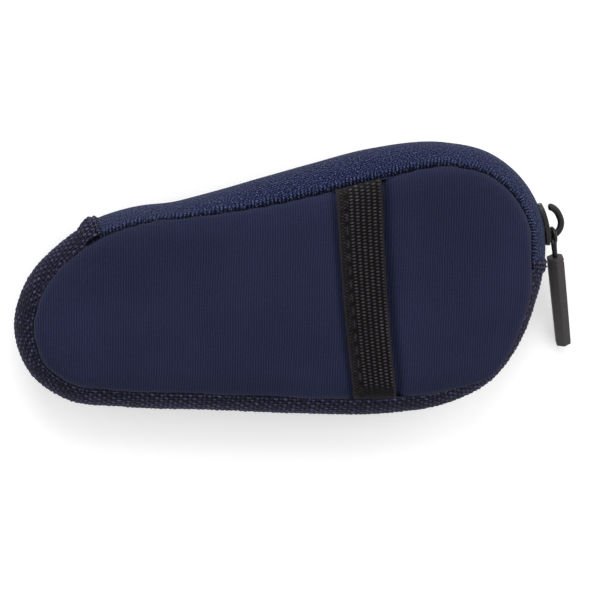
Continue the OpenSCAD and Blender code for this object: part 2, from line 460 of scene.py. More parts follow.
def knit_material():
    cloth = Recipe("navy_rib_knit", roughness=0.9, sheen=0.02, specular=0.08)
    where, x, y, z = cloth.place()
    drift = cloth.math("MULTIPLY", cloth.noise(where, 45.0, 2.0), 1.6 * MM)
    wale = cloth.wave(cloth.math("ADD", x, drift), RIB)
    vee = cloth.math("ABSOLUTE", cloth.math("SUBTRACT", wale, 0.5))
    course = cloth.wave(cloth.math("ADD", y, cloth.math("MULTIPLY", vee, 0.5 * MM)), STITCH)
    height = cloth.math("ADD", cloth.math("MULTIPLY", wale, 0.7), cloth.math("MULTIPLY", course, 0.3))
    shade = cloth.math("ADD", cloth.math("MULTIPLY", height, 0.42),
                       cloth.math("MULTIPLY", cloth.noise(where, 28.0, 4.0), 0.34))
    fuzz_and_seam_shade = cloth.math("MULTIPLY", cloth.noise(where, 1900.0, 2.0), 0.30)
    # Painted shade: within 1.8 mm above either seam the knit's colour is darkened, by up to 0.55 on the
    # ramp, for the crevice's shade.
    over_seam = cloth.math("SUBTRACT", cloth.math("ABSOLUTE", cloth.math("SUBTRACT", z, MIDDLE * MM)),
                           HALF_GAP * MM)
    depth = cloth.node("ShaderNodeMapRange", {"Value": over_seam, "From Max": 1.8 * MM,
                                              "To Min": -0.55, "To Max": 0.0}).outputs[0]
    fuzz_and_seam_shade = cloth.math("ADD", fuzz_and_seam_shade, depth)
    colour = cloth.ramp(cloth.math("ADD", shade, fuzz_and_seam_shade),
                        [(0.0, srgb(7, 8, 17)), (0.25, srgb(20, 23, 42)), (0.52, srgb(30, 34, 57)),
                         (0.85, srgb(45, 49, 78))])
    return cloth.finish(colour, height, 0.10 * MM, 0.55)


knit = knit_material()


# %% [markdown]
# ### Webbing and elastic
# Both weaves are modelled in the mesh, and their points carry the weave's height. The material
# lightens the tops of the yarns as painted highlight, darkens the gaps as painted shade, and adds
# fine fibres along them.


# %% Woven materials
def woven_material(name, dark, mid, light, fibre_scale, roughness, sheen):
    cloth = Recipe(name, roughness=roughness, sheen=sheen, specular=0.12)
    uv = cloth.place("UV")[0]
    weave = cloth.node("ShaderNodeAttribute", attribute_name="weave").outputs["Fac"]
    fibres = cloth.noise(uv, fibre_scale, 3.0)
    patches = cloth.noise(cloth.place()[0], 60.0, 2.0)
    # Painted shade and highlight: the weave's height sets the colour, dark in the gaps and light on the
    # yarn tops; fibres and patches add random tone.
    weave_shade_and_tone = cloth.math("ADD", cloth.math("MULTIPLY", weave, 0.78),
                       cloth.math("MULTIPLY", cloth.math("ADD", fibres, patches), 0.16))
    colour = cloth.ramp(weave_shade_and_tone, [(0.22, dark), (0.55, mid), (0.98, light)])
    return cloth.finish(colour, fibres, 0.10 * MM, 0.5)


webbing_cloth = woven_material("navy_basket_webbing", srgb(4, 3, 9), srgb(26, 25, 53),
                               srgb(106, 103, 142), 5.0, 0.7, 0.02)
elastic_cloth = woven_material("black_woven_elastic", srgb(3, 3, 4), srgb(19, 16, 19),
                               srgb(94, 85, 91), 6.0, 0.75, 0.01)


# %% [markdown]
# ### Zip tape
# The tape is a tight twill that turns back on itself, so its slant is mirrored about the middle of
# each half. A speckle of fibres breaks it up, and the selvedge ribs are real geometry. The weave
# value that the tape's points carry also colours it: lighter on the rib tops as painted highlight,
# darker between the ribs, beside the seam and down the middle as painted shade.


# %% Zip tape
def tape_material():
    cloth = Recipe("navy_zip_twill", roughness=0.8, sheen=0.03, specular=0.1)
    uv, u, v = cloth.place("UV")[:3]
    weave = cloth.node("ShaderNodeAttribute", attribute_name="weave").outputs["Fac"]
    mirrored = cloth.math("PINGPONG", v, 2.4)
    slant = cloth.wave(cloth.math("ADD", u, cloth.math("MULTIPLY", mirrored, 0.9)), 0.85)
    across = cloth.wave(cloth.math("SUBTRACT", v, cloth.math("MULTIPLY", u, 0.15)), 0.62)
    twill = cloth.math("MULTIPLY", slant, across)
    speckle = cloth.noise(uv, 1.9, 3.0, 0.75)
    weave_shade_and_tone = cloth.math("ADD", cloth.math("MULTIPLY", twill, 0.36),
                       cloth.math("ADD", cloth.math("MULTIPLY_ADD", speckle, 2.3, -0.90),
                                  cloth.math("MULTIPLY", weave, 0.42)))
    colour = cloth.ramp(weave_shade_and_tone, [(0.14, srgb(4, 6, 26)), (0.40, srgb(28, 35, 70)),
                                (0.60, srgb(56, 66, 104)), (0.86, srgb(94, 106, 144))])
    return cloth.finish(colour, weave_shade_and_tone, 0.25 * MM, 0.8)


tape_cloth = tape_material()


# %% [markdown]
# ### Moulded and metal finishes
# The slider is black painted zinc with a satin surface, the grip is matt rubber with a fine grain,
# and the coil is dark glossy filament. Noise breaks up their gloss, as handling does.


# %% Hard finishes
def solid_material(name, dark, light, grain, roughness, metallic=0.0, depth=0.03, sheen=0.0):
    finish = Recipe(name, roughness=roughness, metallic=metallic, sheen=sheen)
    where = finish.place()[0]
    blotch = finish.noise(where, grain / 6, 3.0)
    fine = finish.noise(where, grain, 4.0)
    colour = finish.ramp(finish.math("ADD", finish.math("MULTIPLY", blotch, 0.5),
                                     finish.math("MULTIPLY", fine, 0.5)),
                         [(0.3, dark), (0.7, light)])
    return finish.finish(colour, fine, depth * MM, 0.5)


slider_paint = solid_material("black_slider_paint", srgb(22, 21, 23), srgb(44, 42, 45),
                              grain=1500, roughness=0.34, metallic=0.55, depth=0.02)
grip_rubber = solid_material("matt_black_rubber", srgb(38, 33, 36), srgb(53, 48, 51),
                             grain=3000, roughness=0.62)
coil_plastic = solid_material("dark_coil_filament", srgb(20, 20, 30), srgb(36, 36, 48),
                              grain=2000, roughness=0.32, depth=0.01)
lining_cloth = solid_material("brushed_lining", srgb(24, 24, 30), srgb(44, 44, 52),
                              grain=1800, roughness=0.9, depth=0.12, sheen=0.2)
thread_cloth = solid_material("navy_thread", srgb(34, 36, 58), srgb(62, 64, 88),
                              grain=4000, roughness=0.7, depth=0.05, sheen=0.02)
strap_thread = solid_material("charcoal_thread", srgb(16, 15, 17), srgb(36, 33, 36),
                              grain=4000, roughness=0.7, depth=0.05, sheen=0.02)


# %% Grosgrain
def grosgrain_material():
    cloth = Recipe("binding_grosgrain", roughness=0.8, sheen=0.1, specular=0.3)
    uv, u = cloth.place("UV")[:2]
    rib = cloth.wave(u, 0.8)
    colour = cloth.ramp(cloth.math("ADD", cloth.math("MULTIPLY", rib, 0.6),
                                   cloth.math("MULTIPLY", cloth.noise(uv, 4.0), 0.4)),
                        [(0.2, srgb(14, 14, 20)), (0.8, srgb(46, 46, 56))])
    return cloth.finish(colour, rib, 0.15 * MM, 0.8)


binding_cloth = grosgrain_material()


def dress(piece, material):
    piece.data.materials.clear()
    piece.data.materials.append(material)


print("materials made:", len(bpy.data.materials))

# %% [markdown]
# ## Padded panels
# Each panel is knit cloth pulled over foam, with an edge that rolls down into the seam. Its shape
# starts as rings that climb the rolled edge, closed and remeshed to even cells. Pressure then swells
# it as a cloth, held at the seam and let out by no more than half a millimetre.

# %% Panel shape
LOOP_STEPS = 288
SWELL_LIMIT = 0.5 * MM
VOXEL = 1.1 * MM
OVERHANG = 0.12


def panel_profile():
    """The rolled edge as (inset from the seam, height over it), from the inside up to the flat face."""
    flat = [(9.0, 0.8), (2.2, 0.8), (0.6, 0.1), (0.0, -0.25)]
    roll = [(PANEL - (PANEL + OVERHANG) * math.cos(a), (PANEL - 0.2) * math.sin(a))
            for a in (math.radians(d) for d in range(3, 91, 8))]
    return flat + roll + [(9.0, PANEL - 0.15), (14.0, PANEL - 0.1)]


def overhang(t, height):
    """At the lower right the padding bulges out over the webbing by up to 2 mm."""
    spread = 1.1 if t < 12.9 else 0.75
    share = min(1.0, max(0.0, height) / 1.8) * max(0.0, 1 - (height / PANEL) ** 3)
    return 2.2 * share * math.exp(-((t - 12.9) / spread) ** 2)


def make_panel(name):
    profile = panel_profile()
    last = len(profile) - 1

    def place(u, v):
        t = (u % 1.0) * COUNT
        inset, height = profile[round(v * last)]
        out = overhang(t, height) if inset < PANEL else 0.0
        return beside(t, out - edge(t)[0].z - inset, SEAM + height)

    piece = strip(name, LOOP_STEPS, last, place, PERIMETER, 20, close=True)
    fill_holes(piece)
    face_out(piece)
    apply_modifier(piece, "REMESH", mode="VOXEL", voxel_size=VOXEL)
    return piece


def swell(piece):
    """Lets air pressure round the cloth, pinned at the seam and below, and limits how far it moves."""
    start = [v.co.copy() for v in piece.data.vertices]
    held = [v.index for v in piece.data.vertices if v.co.z < (SEAM + 0.9) * MM]
    group = piece.vertex_groups.new(name="held")
    group.add(held, 1.0, "REPLACE")
    cloth = piece.modifiers.new("cloth", "CLOTH")
    cloth.settings.use_pressure = True
    cloth.settings.uniform_pressure_force = 4.0
    cloth.settings.vertex_group_mass = "held"
    cloth.settings.effector_weights.gravity = 0.0
    cloth.settings.quality = 4
    cloth.point_cache.frame_start, cloth.point_cache.frame_end = 1, 20
    for number in range(1, 21):
        scene.frame_set(number)
    shape = piece.evaluated_get(bpy.context.evaluated_depsgraph_get()).to_mesh()
    moved = [v.co.copy() for v in shape.vertices]
    piece.modifiers.clear()
    piece.vertex_groups.clear()
    scene.frame_set(1)
    for vertex, before, after in zip(piece.data.vertices, start, moved):
        step = after - before
        if step.length > SWELL_LIMIT:
            step *= SWELL_LIMIT / step.length
        vertex.co = before + step
        vertex.co.z = min(vertex.co.z, (DEPTH + 0.02) * MM)
    apply_modifier(piece, "SMOOTH", factor=0.5, iterations=3)
    apply_modifier(piece, "SUBSURF", levels=1, render_levels=1)
    outward = [v.normal.copy() for v in piece.data.vertices]
    for vertex, normal in zip(piece.data.vertices, outward):
        height = vertex.co.z / MM - SEAM
        if height > 0.3:
            drift = noise.noise(vertex.co * 70) + 0.5 * noise.noise(vertex.co * 200)
            vertex.co.z += drift * 0.10 * MM
            vertex.co += normal * drift * 0.22 * MM * max(0.0, 1 - height / PANEL)
    smooth(piece, 60)


# %% Front and back panels
front_panel = make_panel("front_cover")
swell(front_panel)
select_none()
back_panel = front_panel.copy()
back_panel.data = front_panel.data.copy()
back_panel.name = back_panel.data.name = "back_cover"
scene.collection.objects.link(back_panel)
for vertex in back_panel.data.vertices:
    vertex.co.z = DEPTH * MM - vertex.co.z
face_out(back_panel)
for panel in (front_panel, back_panel):
    dress(panel, knit)
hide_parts("front_cover_lower", "front_cover_upper", "front_foam_lower", "front_foam_upper")
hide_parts("back_panel_cover", "back_panel_foam")
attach(back_panel, "case_body")
print("panel faces:", len(front_panel.data.polygons))

# %% [markdown]
# ## Linings
# Inside, each panel is faced with a brushed lining whose edge is caught in the seam. A disc of cloth
# a little below the panel, with a slight quilted ripple, shows when the mouth opens.

# %% Linings
LINING_THICK = 0.5


def make_lining(name):
    rings = 14

    def place(u, v):
        t = (u % 1.0) * COUNT
        rim = beside(t, -(edge(t)[0].z + 0.9), SEAM - 0.05)
        point = rim.lerp(Vector((0.008, -0.004, rim.z)), v)
        point.z -= (0.12 + 0.10 * noise.noise(point * 90)) * MM * min(1.0, v * 6)
        return point

    piece = strip(name, LOOP_STEPS // 2, rings, place, PERIMETER, 30, close=True)
    thicken(piece, LINING_THICK)
    smooth(piece)
    return piece


front_lining = make_lining("front_lining")
back_lining = make_lining("back_lining")
for vertex in back_lining.data.vertices:
    vertex.co.z = DEPTH * MM - vertex.co.z
face_out(back_lining)
rim = [beside(k / 12, -(edge(k / 12)[0].z + 0.9), 0) for k in range(COUNT * 12)]
for lining in (front_lining, back_lining):
    dress(lining, lining_cloth)
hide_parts("front_lining_lower", "front_lining_upper")
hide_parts("back_panel_lining")
bend_with_mouth(front_lining)
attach(back_lining, "case_body")

# %% [markdown]
# ## Gusset webbing
# The webbing is coarse enough to count its yarns, so the weave is in the mesh. Each cell of the
# weave is a rounded bump, tops and gaps alternate like a chessboard, and the bumps of one set lean
# along the webbing while the others lean across it.

# %% Webbing
YARN_ALONG = 1.30
YARN_ACROSS = 1.10
WEAVE_HEIGHT = 0.45


def chance(*numbers):
    """A repeatable value from -1 to 1 for a cell of the weave."""
    return noise.noise(Vector([n * 7.31 + 0.37 for n in (*numbers, 0.0, 0.0)][:3]))


def basket(s, w):
    """Height of the basket weave, 0 in the gaps to 1 on the yarns, at s along and w across in mm."""
    s += 0.22 * noise.noise(Vector((s * 0.45, w * 0.45, 2.0)))
    w += 0.22 * noise.noise(Vector((s * 0.45, w * 0.45, 9.0)))
    column, row = math.floor(s / YARN_ALONG), math.floor(w / YARN_ACROSS)
    x = s / YARN_ALONG - column - 0.5
    y = w / YARN_ACROSS - row - 0.5
    over = (column + row) % 2 == 0
    x -= (0.45 if over else -0.30) * y
    wide, high = (0.60, 0.42) if over else (0.36, 0.55)
    bump = max(0.0, 1 - (x / wide) ** 2 - (y / high) ** 2) ** 0.5
    strand = 0.5 + 0.5 * math.cos(2 * math.pi * (y if over else x) * 2.6)
    size = (1.0 if over else 0.70) * (0.85 + 0.30 * chance(column, row))
    return bump * size * (0.86 + 0.14 * strand)


def webbing_strip(name, start, length, reach, rise, columns, rows, thick, lift=None):
    """Webbing over part of the outline. start and length are along it in mm; rise is how far it stands
    off the gusset's outer face, and lift(s, w) adds to that."""
    heights = {}

    def place(u, v):
        s = start + u * length
        t = t_at(round(s, 4))
        w = (1 - 2 * v) * reach(t)
        height = basket(s, w)
        edge_fade = min(1.0, (1 - abs(1 - 2 * v)) * 12)
        out = rise + (height - 0.6) * WEAVE_HEIGHT * edge_fade + (lift(u, 1 - 2 * v) if lift else 0.0)
        point = on_gusset(t, w, -out)
        heights[tuple(round(c, 7) for c in point)] = height
        return point

    piece = strip(name, columns, rows, place, length, 25)
    set_heights(piece, [heights[tuple(round(c, 7) for c in v.co)] for v in piece.data.vertices])
    thicken(piece, thick)
    smooth(piece, 80)
    dress(piece, webbing_cloth)
    return piece


webbing_length = PERIMETER - ZIP_LENGTH
webbing = webbing_strip("gusset_webbing", ZIP_LENGTH, webbing_length, gusset_reach, 0.0, 700, 66, 1.2)
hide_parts("gusset_webbing")
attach(webbing, "case_body")
print("webbing points:", len(webbing.data.vertices))

# %% [markdown]
# ### Webbing ends
# Each end of the webbing is turned back on itself and sewn down over the zip. At the left the fold
# is thick and rides over the tape, with a hard corner that stands up where the layers bunch. At the
# right it is pressed flat under a line of stitches.


# %% Folded ends
LEFT_FOLD_BACK, LEFT_FOLD_LENGTH = 5.6, 6.2
RIGHT_FOLD_BACK, RIGHT_FOLD_LENGTH = 0.2, 4.2


def left_lift(u, w):
    end = max(0.0, 1 - ((1 - u) / 0.16)) ** 2
    knob = 0.55 * math.exp(-((u - 0.62) / 0.20) ** 2 - (w / 0.22) ** 2)
    step = min(1.0, u / 0.35)
    crease = 0.35 * math.exp(-((u - 0.80) / 0.05) ** 2)
    return -0.95 * (1 - step) - 0.7 * end + knob - crease


def right_lift(u, w):
    return -0.5 * max(0.0, 1 - u / 0.18) ** 2 - 0.4 * max(0.0, 1 - (1 - u) / 0.3)


def near_full(t):
    return gusset_reach(t) * 0.955


left_fold = webbing_strip("webbing_fold_left", PERIMETER - LEFT_FOLD_BACK, LEFT_FOLD_LENGTH,
                          near_full, 1.05, 44, 100, 1.0, left_lift)
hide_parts("webbing_fold_left")
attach(left_fold, "case_body")
right_fold = webbing_strip("webbing_fold_right", ZIP_LENGTH - RIGHT_FOLD_BACK, RIGHT_FOLD_LENGTH,
                           near_full, 0.55, 30, 100, 0.6, right_lift)
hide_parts("webbing_fold_right")
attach(right_fold, "case_body")
print("webbing end points:", len(left_fold.data.vertices) + len(right_fold.data.vertices))

# %% [markdown]
# ## Zip tapes
# A reverse coil zip shows plain tape outside. Each half is a strip from the middle of the zip to its
# seam, and the selvedge that is caught in the seam has short ribs across it, a millimetre apart.

# %% Zip tapes
RIB_BAND = 2.9
RIB_PITCH = 1.05
RIB_HEIGHT = 0.5
TAPE_THICK = 0.6
TAPE_UNDER = 0.7


def make_tape(name, side):
    heights = {}

    def place(u, v):
        s = u * ZIP_LENGTH
        t = t_at(round(s, 4))
        reach = gusset_reach(t)
        v = 1 - v if side > 0 else v
        w = 0.04 + v * (reach + TAPE_UNDER - 0.04)
        length = RIB_BAND * (0.85 + 0.5 * chance(round(s / RIB_PITCH), 3))
        band = max(0.0, min(1.0, 2.2 * (1 - (reach - w) / length)))
        rib = (0.5 + 0.5 * math.cos(2 * math.pi * (s - 0.25 * (reach - w)) / RIB_PITCH)) * band
        lip = 0.25 * math.exp(-((w - 0.6) / 0.5) ** 2)
        waves = 0.12 * max(0.0, min(1.0, (w - 3) / 4))
        height = RIB_HEIGHT * rib + waves * noise.noise(Vector((s * 0.16, w * 0.3, 0)))
        height -= 0.5 * math.exp(-((reach - w) / 0.35) ** 2)
        point = on_gusset(t, side * w, -(height + lip * 0.2))
        # Painted shade: the crevice and middle-of-zip terms lower the stored weave value, which darkens
        # the tape's colour beside the seam and down the zip's middle; the rib term is painted highlight on
        # the rib tops.
        crevice = math.exp(-(max(0.0, reach - w) / 0.6) ** 2)
        slit = math.exp(-(w / 0.35) ** 2)
        heights[tuple(round(c, 7) for c in point)] = 1.15 * rib - 0.50 * band - 0.9 * crevice - 1.2 * slit
        return point

    piece = strip(name, 1200, 20, place, ZIP_LENGTH, 12.5)
    set_heights(piece, [heights[tuple(round(c, 7) for c in v.co)] for v in piece.data.vertices])
    thicken(piece, TAPE_THICK)
    smooth(piece, 80)
    dress(piece, tape_cloth)
    return piece


front_tape = make_tape("zip_tape_front", 1)
back_tape = make_tape("zip_tape_back", -1)
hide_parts("zip_tape_front")
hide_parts("zip_tape_back")
bend_with_mouth(front_tape)
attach(back_tape, "case_body")
print("tape points:", len(front_tape.data.vertices))

# %% [markdown]
# ### Zip coil
# The coil is one filament wound in loops. A single loop is modelled from a torus, flattened, and
# copied along each half, with the two halves half a pitch apart so that the loops interlock.

# %% Zip coil
COIL_PITCH = 1.5
COIL_START, COIL_STOP = 7.5, 4.0


def make_coil(name, side):
    select_none()
    bpy.ops.mesh.primitive_torus_add(major_segments=12, minor_segments=6,
                                     major_radius=0.62 * MM, minor_radius=0.3 * MM)
    pattern = bpy.context.object
    for vertex in pattern.data.vertices:
        vertex.co.x *= 2.1
    places = []
    count = int((ZIP_LENGTH - COIL_START - COIL_STOP) / COIL_PITCH)
    for k in range(count):
        s = COIL_START + (k + (0.5 if side > 0 else 0.0)) * COIL_PITCH
        t = t_at(round(s, 4))
        centre = on_gusset(t, side * 1.15, 1.55)
        across = (on_gusset(t, side * 2.2, 1.55) - centre).normalized()
        inward = (on_gusset(t, side * 1.15, 2.5) - centre).normalized()
        places.append(basis(centre, across, inward, across.cross(inward)))
    piece = copies(name, pattern, places)
    dress(piece, coil_plastic)
    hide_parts(name)
    return piece


front_coil = make_coil("zip_coil_front", 1)
back_coil = make_coil("zip_coil_back", -1)
bend_with_mouth(front_coil)
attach(back_coil, "case_body")
print("coil faces:", len(front_coil.data.polygons))

# %% [markdown]
# ## Seam bindings
# The raw seam inside is wrapped in grosgrain. It lies flat along the seam, so it is a strip with a
# rounded section.

# %% Seam bindings
BINDING_NEAR, BINDING_FAR, BINDING_THICK = 0.8, 5.6, 1.3


def make_binding(name, from_t, to_t, steps):
    def place(u, v):
        t = from_t + (to_t - from_t) * u
        a = 2 * math.pi * (v % 1.0)
        half_w = (BINDING_FAR - BINDING_NEAR) / 2
        flat = abs(math.sin(a)) ** 0.6 * math.copysign(1, math.sin(a))
        out = -(edge(t % COUNT)[0].z + BINDING_NEAR + half_w + half_w * math.cos(a))
        return beside(t % COUNT, out, SEAM - 0.12 - BINDING_THICK / 2 + flat * BINDING_THICK / 2)

    length = distance_at(min(COUNT, to_t)) - distance_at(from_t)
    piece = strip(name, steps, 16, place, length, 12, close=True)
    fill_holes(piece)
    face_out(piece)
    smooth(piece)
    dress(piece, binding_cloth)
    return piece


front_binding = make_binding("front_seam_binding", 0.75, COUNT - 0.5, 300)
back_binding = make_binding("back_seam_binding", 0.5, COUNT - 0.5, 300)
for vertex in back_binding.data.vertices:
    vertex.co.z = DEPTH * MM - vertex.co.z
face_out(back_binding)
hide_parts("front_seam_binding_lower", "front_seam_binding_upper")
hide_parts("back_seam_binding")
bend_with_mouth(front_binding)
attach(back_binding, "case_body")
print("binding faces:", len(front_binding.data.polygons))

# %% [markdown]
# ## Elastic strap
# The elastic crosses the front from seam to seam. Its weave is staggered rows of small bumps, with a
# fine cord along both edges and, at the left, a flat band where a line of stitches pulls it down.

# %% Elastic strap
STRAP_TOP = (4.235, 5.0)
STRAP_BOTTOM = (15.47, 14.96)
STRAP_W = 12.7
BUMP_W, BUMP_H = 1.60, 0.95
BAND_W = 3.1
HOLE_PITCH = 3.9
HOLE_AT = 2.5
STRAP_BOW = 0.9
STRAP_TRIM = 0.010
STRAP_DIVE = 2.4
STRAP_HIGHEST = 31.55


def seam_point(t):
    return beside(t, -edge(t)[0].z, SEAM)


STRAP_ENDS = [(seam_point(low), seam_point(high), edge(low)[1], edge(high)[1])
              for low, high in zip(STRAP_BOTTOM, STRAP_TOP)]


def strap_point(x, y, lift):
    """x across from 0 at the left to 1, y from 0 at the bottom seam to 1 at the top one. The strap's
    edges are straight seen from above, and its height follows the panel's rolled edge."""
    low = STRAP_ENDS[0][0].lerp(STRAP_ENDS[1][0], x)
    high = STRAP_ENDS[0][1].lerp(STRAP_ENDS[1][1], x)
    slant = abs((high - low).normalized().dot((STRAP_ENDS[0][3] if y > 0.5 else STRAP_ENDS[0][2]).to_3d()))
    inwards = min(y, 1 - y) * (high - low).length / MM * slant + 0.12
    r = PANEL + lift
    short = max(0.0, r - inwards - lift * 0.6)
    point = low.lerp(high, y)
    point.x -= (STRAP_BOW * math.sin(math.pi * y) ** 0.6 + 0.2 * (1 - y)) * MM
    point.z = (SEAM + math.sqrt(max(0.0, r * r - min(short, r) ** 2))) * MM
    return point


strap_length = (strap_point(0.5, 0.99, 0) - strap_point(0.5, 0.01, 0)).length / MM + 5


def elastic_height(x, y):
    """Height of the elastic's weave, 0 to 1, at x across and y along in millimetres."""
    cord = min(abs(x - 0.3), abs(x - (STRAP_W - 0.35)))
    if cord < 0.32:
        return 0.52 + 0.14 * math.cos(2 * math.pi * y / 0.6)
    if x < BAND_W:
        hole_y = (y / HOLE_PITCH) % 1.0 - 0.5
        hole = math.exp(-((x - HOLE_AT) / 0.45) ** 2 - (hole_y * HOLE_PITCH / 0.55) ** 2)
        rows = math.cos(2 * math.pi * y / BUMP_H) * (1 if math.floor(x / 0.8) % 2 else -1)
        ridge = 0.40 + 0.20 * rows + 0.16 * noise.noise(Vector((x * 1.4, y * 1.4, 3.0)))
        return max(0.0, ridge * (1 - 1.6 * hole))
    column = math.floor((x - BAND_W) / BUMP_W)
    shift = 0.5 if column % 2 else 0.0
    along = (x - BAND_W) / BUMP_W - column - 0.5
    up = (y / BUMP_H + shift) % 1.0 - 0.5
    bump = max(0.0, 1 - (along / 0.48) ** 2 - (up / 0.40) ** 2) ** 0.5
    bump *= 0.94 + 0.16 * chance(column, math.floor(y / BUMP_H + shift))
    fade = min(1.0, max(0.25, (y - 1.5) / 4.5))
    return 0.18 + (0.82 * bump - 0.18) * fade + 0.10 * (1 - fade)


def along_strap(v):
    """Spreads the rows so that they lie closer together where the strap dives to its seams."""
    v = STRAP_TRIM + (1 - STRAP_TRIM) * v
    return v - 0.055 * math.sin(2 * math.pi * v) / (2 * math.pi) * 10 / 2


def make_strap():
    heights = {}

    def place(u, v):
        dive = STRAP_DIVE * max(0.0, 1 - min(v, 1 - v) / 0.008)
        v = along_strap(v)
        height = elastic_height(u * STRAP_W, v * strap_length)
        crown = math.sin(math.pi * u) * 0.25
        tuck = 0.35 * math.sin(math.pi * min(1.0, v / 0.12) / 2)
        lift = 0.45 + tuck + crown + (height - 0.5) * 0.34 + 0.35 * u * u
        point = strap_point(u, v, lift)
        point.z = min(point.z, STRAP_HIGHEST * MM) - dive * MM
        heights[tuple(round(c, 7) for c in point)] = height
        return point

    piece = strip("elastic_strap", 96, 420, place, STRAP_W, strap_length)
    set_heights(piece, [heights[tuple(round(c, 7) for c in v.co)] for v in piece.data.vertices])
    thicken(piece, 0.75)
    smooth(piece, 80)
    dress(piece, elastic_cloth)
    return piece


strap = make_strap()
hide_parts("strap_lower", "strap_upper")
bend_with_mouth(strap)
print("strap", round(strap_length, 1), "mm long,", len(strap.data.vertices), "points")

# %% [markdown]
# ### The strap's mark on the padding
# Tight elastic sinks into soft padding and leaves a shaded groove along its edges. A sculpted groove
# would have to be redone at each change, so the panel's points are lowered by their distance from
# the strap's edges.


# %% Strap pressed into the panel
def press_under_strap(panel):
    """The strap sinks the padding under it a little, and more beside its free right edge."""
    (low_l, high_l), (low_r, high_r) = [ends[:2] for ends in STRAP_ENDS]
    for vertex in panel.data.vertices:
        if vertex.co.z > (SEAM + 2) * MM:
            y = (vertex.co.y - low_l.y) / (high_l.y - low_l.y)
            bow = STRAP_BOW * MM * math.sin(math.pi * min(1.0, max(0.0, y))) ** 0.6
            left = low_l.x + (high_l.x - low_l.x) * y - bow
            right = low_r.x + (high_r.x - low_r.x) * y - bow
            beyond_left, beyond_right = (left - vertex.co.x) / MM, (vertex.co.x - right) / MM
            dip = 1.7 * math.exp(-((beyond_right - 0.5) / 1.3) ** 2)
            dip += 0.45 * math.exp(-((beyond_right - 1.5) / 3.2) ** 2) if beyond_right > 0 else 0.0
            dip += 0.9 * math.exp(-((beyond_left - 0.3) / 1.0) ** 2)
            if beyond_left < 0 and beyond_right < 0:
                dip = max(dip, 0.5)
            vertex.co.z -= dip * MM


press_under_strap(front_panel)
bend_with_mouth(front_panel)
print("strap pressed into the front panel")

# %% [markdown]
# ## Sewing
# Short stitches bridge the crevice between each panel and the gusset, a line of long stitches runs
# down the strap's flat band, one row holds the left webbing end and a double row the right one. One
# stitch is modelled from a small sphere drawn out along its length, and copied.

# %% Stitches
SEAM_STITCH_PITCH = 3.3


def stitch_pattern():
    select_none()
    bpy.ops.mesh.primitive_uv_sphere_add(segments=8, ring_count=6, radius=1)
    return bpy.context.object


def stitch_place(start, end, radius, up):
    along = (end - start) / 2
    side = along.cross(up).normalized() * radius
    rise = side.cross(along).normalized() * radius
    return basis((start + end) / 2, along, side, rise)


def seam_places(front):
    places = []
    for k in range(int(PERIMETER / SEAM_STITCH_PITCH)):
        t = t_at(round(k * SEAM_STITCH_PITCH, 4))
        start = on_pad(t, 6, 0.12)
        end = on_gusset(t, gusset_reach(t) - 0.9, -0.28)
        if not front:
            start.z, end.z = DEPTH * MM - start.z, DEPTH * MM - end.z
        places.append(stitch_place(start, end, 0.12 * MM, beside(t, 1, 0) - beside(t, 0, 0)))
    return places


front_seam = copies("front_seam_thread", stitch_pattern(), seam_places(True))
back_seam = copies("back_seam_thread", stitch_pattern(), seam_places(False))
for seam in (front_seam, back_seam):
    dress(seam, thread_cloth)
bend_with_mouth(front_seam)
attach(back_seam, "case_body")

# %% Strap and webbing stitches
strap_places = []
for k in range(int(strap_length / HOLE_PITCH)):
    low, high = (k + 0.62) * HOLE_PITCH / strap_length, (k + 1.38) * HOLE_PITCH / strap_length
    if 0.06 < low and high < 0.95:
        a = strap_point(HOLE_AT / STRAP_W, low, 0.86)
        b = strap_point(HOLE_AT / STRAP_W, high, 0.86)
        strap_places.append(stitch_place(a, b, 0.14 * MM, Vector((0, 0, 1))))
strap_stitches = copies("strap_stitches", stitch_pattern(), strap_places)
dress(strap_stitches, strap_thread)
bend_with_mouth(strap_stitches)


def end_row(s, rise, places):
    for k in range(-7, 8):
        t = t_at(round(s, 4))
        w = k * 1.45
        if abs(w) < gusset_reach(t) - 1.2:
            a, b = on_gusset(t, w - 0.5, -rise), on_gusset(t, w + 0.5, -rise)
            places.append(stitch_place(a, b, 0.17 * MM, beside(t, 1, 0) - beside(t, 0, 0)))


end_places = []
end_row(PERIMETER - 1.0, 1.15, end_places)
end_row(ZIP_LENGTH + 0.7, 0.8, end_places)
end_row(ZIP_LENGTH + 2.0, 0.8, end_places)
end_stitches = copies("webbing_end_stitches", stitch_pattern(), end_places)
dress(end_stitches, thread_cloth)
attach(end_stitches, "case_body")
print("stitches:", len(strap_places) + len(end_places) + 2 * int(PERIMETER / SEAM_STITCH_PITCH))

# %% [markdown]
# ## Slider
# The slider is a casting: an outer plate, an inner plate over the coil, a wedge between them, and an
# open hook on top. Each plate is a block whose points are bent round the lobe, with its edges
# bevelled. The hook is a tube swept round a half circle that thins towards its rounded tip.

# %% Slider plates
SLIDER_ANGLE = math.radians(13)
PLATE_LEN, PLATE_W, PLATE_THICK = 11.8, 8.4, 1.2
OUTER_FACE = LOBE_R + 0.25 + PLATE_THICK
INNER_TOP = LOBE_R - 0.7 - 1.7 - 0.85
HOOK_R, HOOK_WIRE = 3.8, 0.95


def round_lobe(radius, along, z):
    """A point at this radius from the lobe's centre, along the zip from the slider's middle, in mm."""
    a = SLIDER_ANGLE + along / LOBE_R
    return Vector((LOBE[0] + radius * math.cos(a), LOBE[1] + radius * math.sin(a), MIDDLE + z)) * MM


def block(name, cuts):
    select_none()
    bpy.ops.mesh.primitive_cube_add(size=2)
    piece = bpy.context.object
    piece.name = piece.data.name = name
    edit(piece, lambda: bpy.ops.mesh.subdivide(number_cuts=cuts))
    return piece


